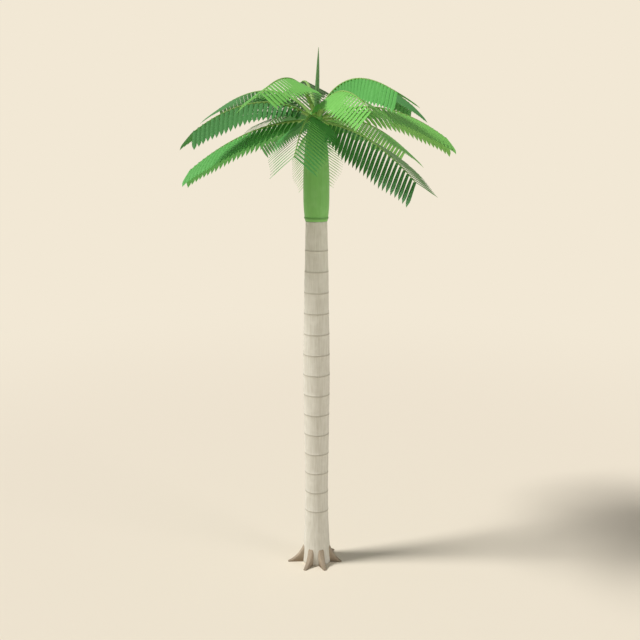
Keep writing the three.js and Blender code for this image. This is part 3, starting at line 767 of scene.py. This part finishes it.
floor_mesh = bpy.data.meshes.new("floor")
floor_turn = np.linspace(0, 2 * math.pi, FLOOR_POINTS, endpoint=False)
floor_rim = np.stack([np.cos(floor_turn), np.sin(floor_turn), 0 * floor_turn], axis=-1) * FLOOR_RADIUS
floor_mesh.from_pydata(floor_rim.tolist(), [], [list(range(len(floor_rim)))])
floor = bpy.data.objects.new("floor", floor_mesh)
bpy.context.scene.collection.objects.link(floor)
print("floor radius:", FLOOR_RADIUS)

# %% Finish: matt floor paint
# Paint with no gloss at all gives the eye nothing but the tree's shadow, and glows like the backdrop far
# out.
FADE_FROM, FADE_TO = 9.0, 30.0
CREAM, FLOOR_COLOUR = "#f2e8d5", "#ede2cf"

floor_finish, tree, shader, place = new_finish("matt_cream_floor")
shader.inputs["Base Color"].default_value = linear(FLOOR_COLOUR)
shader.inputs["Roughness"].default_value = 1.0
shader.inputs["Specular IOR Level"].default_value = 0.0
distance = add_node(tree, "ShaderNodeVectorMath", {0: place}, operation="LENGTH")
fade = add_node(tree, "ShaderNodeMapRange", {
    "Value": distance.outputs["Value"], "From Min": FADE_FROM, "From Max": FADE_TO, "To Min": 0.0,
    "To Max": 1.0}, interpolation_type="SMOOTHSTEP")
backdrop = add_node(tree, "ShaderNodeEmission", {"Color": linear(CREAM), "Strength": 1.0})
faded = add_node(tree, "ShaderNodeMixShader", {
    "Fac": fade.outputs["Result"], 1: shader.outputs["BSDF"], 2: backdrop.outputs["Emission"]})
tree.links.new(faded.outputs["Shader"], tree.nodes["Material Output"].inputs["Surface"])
floor_mesh.materials.append(floor_finish)
print("floor nodes:", len(tree.nodes))

# %% Sky
SKY_STRENGTH = 0.26

world = bpy.data.worlds.new("soft_studio")
world.use_nodes = True
bpy.context.scene.world = world
tree = world.node_tree
sky = tree.nodes["Background"]
sky.inputs["Color"].default_value = linear("#ffffff")
sky.inputs["Strength"].default_value = SKY_STRENGTH
seen = add_node(tree, "ShaderNodeBackground", {"Color": linear(CREAM), "Strength": 1.0})
ray = add_node(tree, "ShaderNodeLightPath")
both = add_node(tree, "ShaderNodeMixShader", {
    "Fac": ray.outputs["Is Camera Ray"], 1: sky.outputs["Background"], 2: seen.outputs["Background"]})
tree.links.new(both.outputs["Shader"], tree.nodes["World Output"].inputs["Surface"])
bpy.context.scene.view_settings.view_transform = "Standard"
print("sky nodes:", len(tree.nodes))

# %% Sun and fill
# A lamp is told by its strength, by how wide it looks in degrees and by a place that it shines from.
LIGHTS = {"soft_sun": (2.9, 14.5, (-9.1, -1.45, 10.2)), "soft_fill": (0.7, 30.0, (8.0, -5.0, 2.6))}

for name, (strength, spread, from_place) in LIGHTS.items():
    lamp_data = bpy.data.lights.new(name, "SUN")
    lamp_data.energy = strength
    lamp_data.angle = math.radians(spread)
    lamp = bpy.data.objects.new(name, lamp_data)
    lamp.rotation_euler = Vector(from_place).to_track_quat("Z", "Y").to_euler()
    bpy.context.scene.collection.objects.link(lamp)
    print(name, "height in degrees:", round(math.degrees(math.asin(Vector(from_place).normalized().z)), 1))

# %% Camera
# The lens and the sensor are in millimetres, and the far clip lies past the floor's rim.
CAMERA_PLACE = (0.079, -18.487, 10.035)
CAMERA_PITCH = 12.4
CAMERA_SENSOR, CAMERA_LENS = 36.0, 46.56
CAMERA_FAR_CLIP = 1000.0

camera_data = bpy.data.cameras.new("palm_camera")
camera_data.sensor_width = CAMERA_SENSOR
camera_data.lens = CAMERA_LENS
camera_data.clip_end = CAMERA_FAR_CLIP
camera = bpy.data.objects.new("palm_camera", camera_data)
camera.location = CAMERA_PLACE
camera.rotation_euler = (math.radians(90 - CAMERA_PITCH), 0, 0)
bpy.context.scene.collection.objects.link(camera)
bpy.context.scene.camera = camera
print("view angle in degrees:", round(math.degrees(camera_data.angle), 1))
